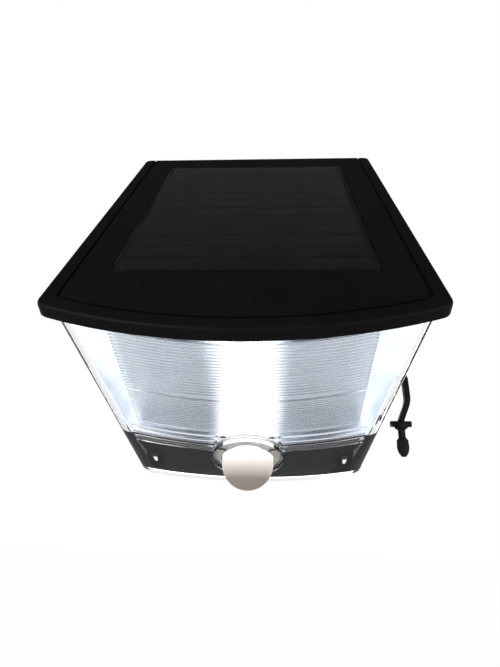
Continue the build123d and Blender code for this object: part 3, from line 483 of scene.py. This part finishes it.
# ---------------------------------------------------------------- base liner
# A thin black liner on the cover's inner wall below the tray, cut from a copy of that wall: side
# walls, bottom, and the face but for the posts and the dome's collar. It makes the foot black.
liner_top = 50.5 * MM
liner_sink = 0.04 * MM
liner_thickness = 0.30 * MM
liner_side = 33 * MM
liner_floor = -61.5 * MM
liner_back = -1.0 * MM
collar_side = 11.5 * MM
collar_depth = 3.5 * MM
post_depth = 12 * MM
facing_across = 0.3
facing_ahead = 0.5
weld = 0.002 * MM
bpy.ops.object.select_all(action="DESELECT")
liner = bpy.data.objects.new("base_liner", nodes["lens_cover"].data.copy())
bpy.context.scene.collection.objects.link(liner)
liner.select_set(True)
bpy.context.view_layer.objects.active = liner
bpy.ops.object.mode_set(mode="EDIT")
bpy.ops.mesh.select_all(action="SELECT")
bpy.ops.mesh.remove_doubles(threshold=weld)
bpy.ops.mesh.bisect(
    plane_co=face_rim + face_down * liner_top, plane_no=face_down, clear_inner=True
)
bpy.ops.mesh.select_all(action="SELECT")
bpy.ops.mesh.bisect(plane_co=(0, liner_back, 0), plane_no=(0, 1, 0), clear_outer=True)
bpy.ops.mesh.select_all(action="DESELECT")
bpy.ops.object.mode_set(mode="OBJECT")
for face in liner.data.polygons:
    middle, out = face.center, face.normal
    depth = -(middle - face_rim).dot(face_out)
    reach = collar_depth if abs(middle.x) < collar_side else post_depth
    beside = abs(middle.x) > liner_side and out.x * middle.x < -facing_across * abs(middle.x)
    below = middle.z < liner_floor and out.z > facing_across
    ahead = out.dot(face_out) < -facing_ahead and depth < reach
    face.select = not (beside or below or ahead)
bpy.ops.object.mode_set(mode="EDIT")
bpy.ops.mesh.delete(type="FACE")
bpy.ops.mesh.select_all(action="SELECT")
bpy.ops.transform.shrink_fatten(value=-liner_sink)
bpy.ops.object.mode_set(mode="OBJECT")
skin = liner.modifiers.new("skin", "SOLIDIFY")
skin.thickness = liner_thickness
skin.offset = 1.0
bpy.ops.object.modifier_apply(modifier="skin")
liner.data.materials.clear()
liner.data.materials.append(black_casing)
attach(liner, "lamp")

# ---------------------------------------------------------------- battery
# One rechargeable cell in plain blue shrink wrap, with welded tabs, under two steel clamps. The
# clamps and all the screws are zinc plated.
wrap_blue = finish("blue_wrap", (0.06, 0.17, 0.42), 0.32, Coat_Weight=0.3)
vary(wrap_blue, "Base Color", object_noise(wrap_blue, 6 * MM, 3.0),
     (0.05, 0.15, 0.38), (0.07, 0.19, 0.46))
bump(wrap_blue, object_noise(wrap_blue, 3 * MM, 2.0, (0.2, 1, 1)), 0.03 * MM)
dress("battery_cell", wrap_blue)
plated = finish("zinc_plating", (0.58, 0.58, 0.56), 0.3, Metallic=1.0)
vary(plated, "Roughness", object_noise(plated, 1.5 * MM, 4.0), 0.22, 0.42)
vary(plated, "Base Color", object_noise(plated, 4 * MM, 3.0),
     (0.50, 0.50, 0.49), (0.64, 0.64, 0.61))
steel_nodes = (
    "battery_tabs", "battery_clamps", "lid_screws", "cover_screws",
    "reflector_screws", "holder_screws", "board_screws", "clamp_screws",
)
for name in steel_nodes:
    dress(name, plated)

# ---------------------------------------------------------------- control board and leads
# A green laminate board with its chips, a sleeved capacitor, nylon sockets and the switch with its
# plunger, and the soft insulated leads between the parts.
copper_size = 1.6 * MM
copper_run = (1, 0.4, 0.4)
laminate = finish("green_laminate", (0.02, 0.12, 0.05), 0.35, Coat_Weight=0.3)
vary(laminate, "Base Color", object_noise(laminate, copper_size, 0.0, copper_run),
     (0.016, 0.10, 0.045), (0.035, 0.19, 0.08))
bump(laminate, object_noise(laminate, copper_size, 0.0, copper_run), 0.03 * MM)
dress("control_board", laminate)
chip_black = finish("chip_epoxy", (0.014, 0.014, 0.015), 0.6, Specular_IOR_Level=0.3)
bump(chip_black, object_noise(chip_black, 0.12 * MM, 2.0), 0.01 * MM)
dress("board_chips", chip_black)
black_inner = finish("black_moulding", (0.018, 0.018, 0.020), 0.55, Specular_IOR_Level=0.3)
bump(black_inner, object_noise(black_inner, 0.4 * MM, 2.0), 0.02 * MM)
dress("power_switch", black_inner)
sleeve = finish("capacitor_sleeve", (0.04, 0.04, 0.07), 0.35)
vary(sleeve, "Base Color", object_noise(sleeve, 3 * MM, 2.0),
     (0.03, 0.03, 0.06), (0.06, 0.06, 0.09))
dress("board_capacitor", sleeve)
nylon = finish("natural_nylon", (0.74, 0.73, 0.68), 0.5, Subsurface_Weight=0.2,
               Subsurface_Scale=0.001)
bump(nylon, object_noise(nylon, 0.5 * MM, 2.0), 0.02 * MM)
for name in ("board_sockets", "switch_plunger"):
    dress(name, nylon)
for finish_name, colour, names in (
    ("red_lead", (0.42, 0.02, 0.02), ("solar_lead", "led_lead")),
    ("black_lead", (0.02, 0.02, 0.02), ("sensor_lead", "battery_leads")),
):
    insulation = finish(finish_name, colour, 0.45)
    bump(insulation, object_noise(insulation, 0.6 * MM, 2.0), 0.02 * MM)
    for name in names:
        dress(name, insulation)

# ---------------------------------------------------------------- switch button and stopper
# A matt button deep in its socket, and the soft rubber plug on a strap that closes the socket.
button_black = finish("button_black", (0.025, 0.025, 0.026), 0.6, Specular_IOR_Level=0.3)
bump(button_black, object_noise(button_black, 0.3 * MM, 2.0), 0.015 * MM)
dress("power_button", button_black)
rubber = finish("black_rubber", (0.009, 0.009, 0.0095), 0.62, Specular_IOR_Level=0.25)
vary(rubber, "Roughness", object_noise(rubber, 2 * MM, 4.0), 0.52, 0.72)
bump(rubber, object_noise(rubber, 0.25 * MM, 3.0), 0.02 * MM)
dress("stopper", rubber)
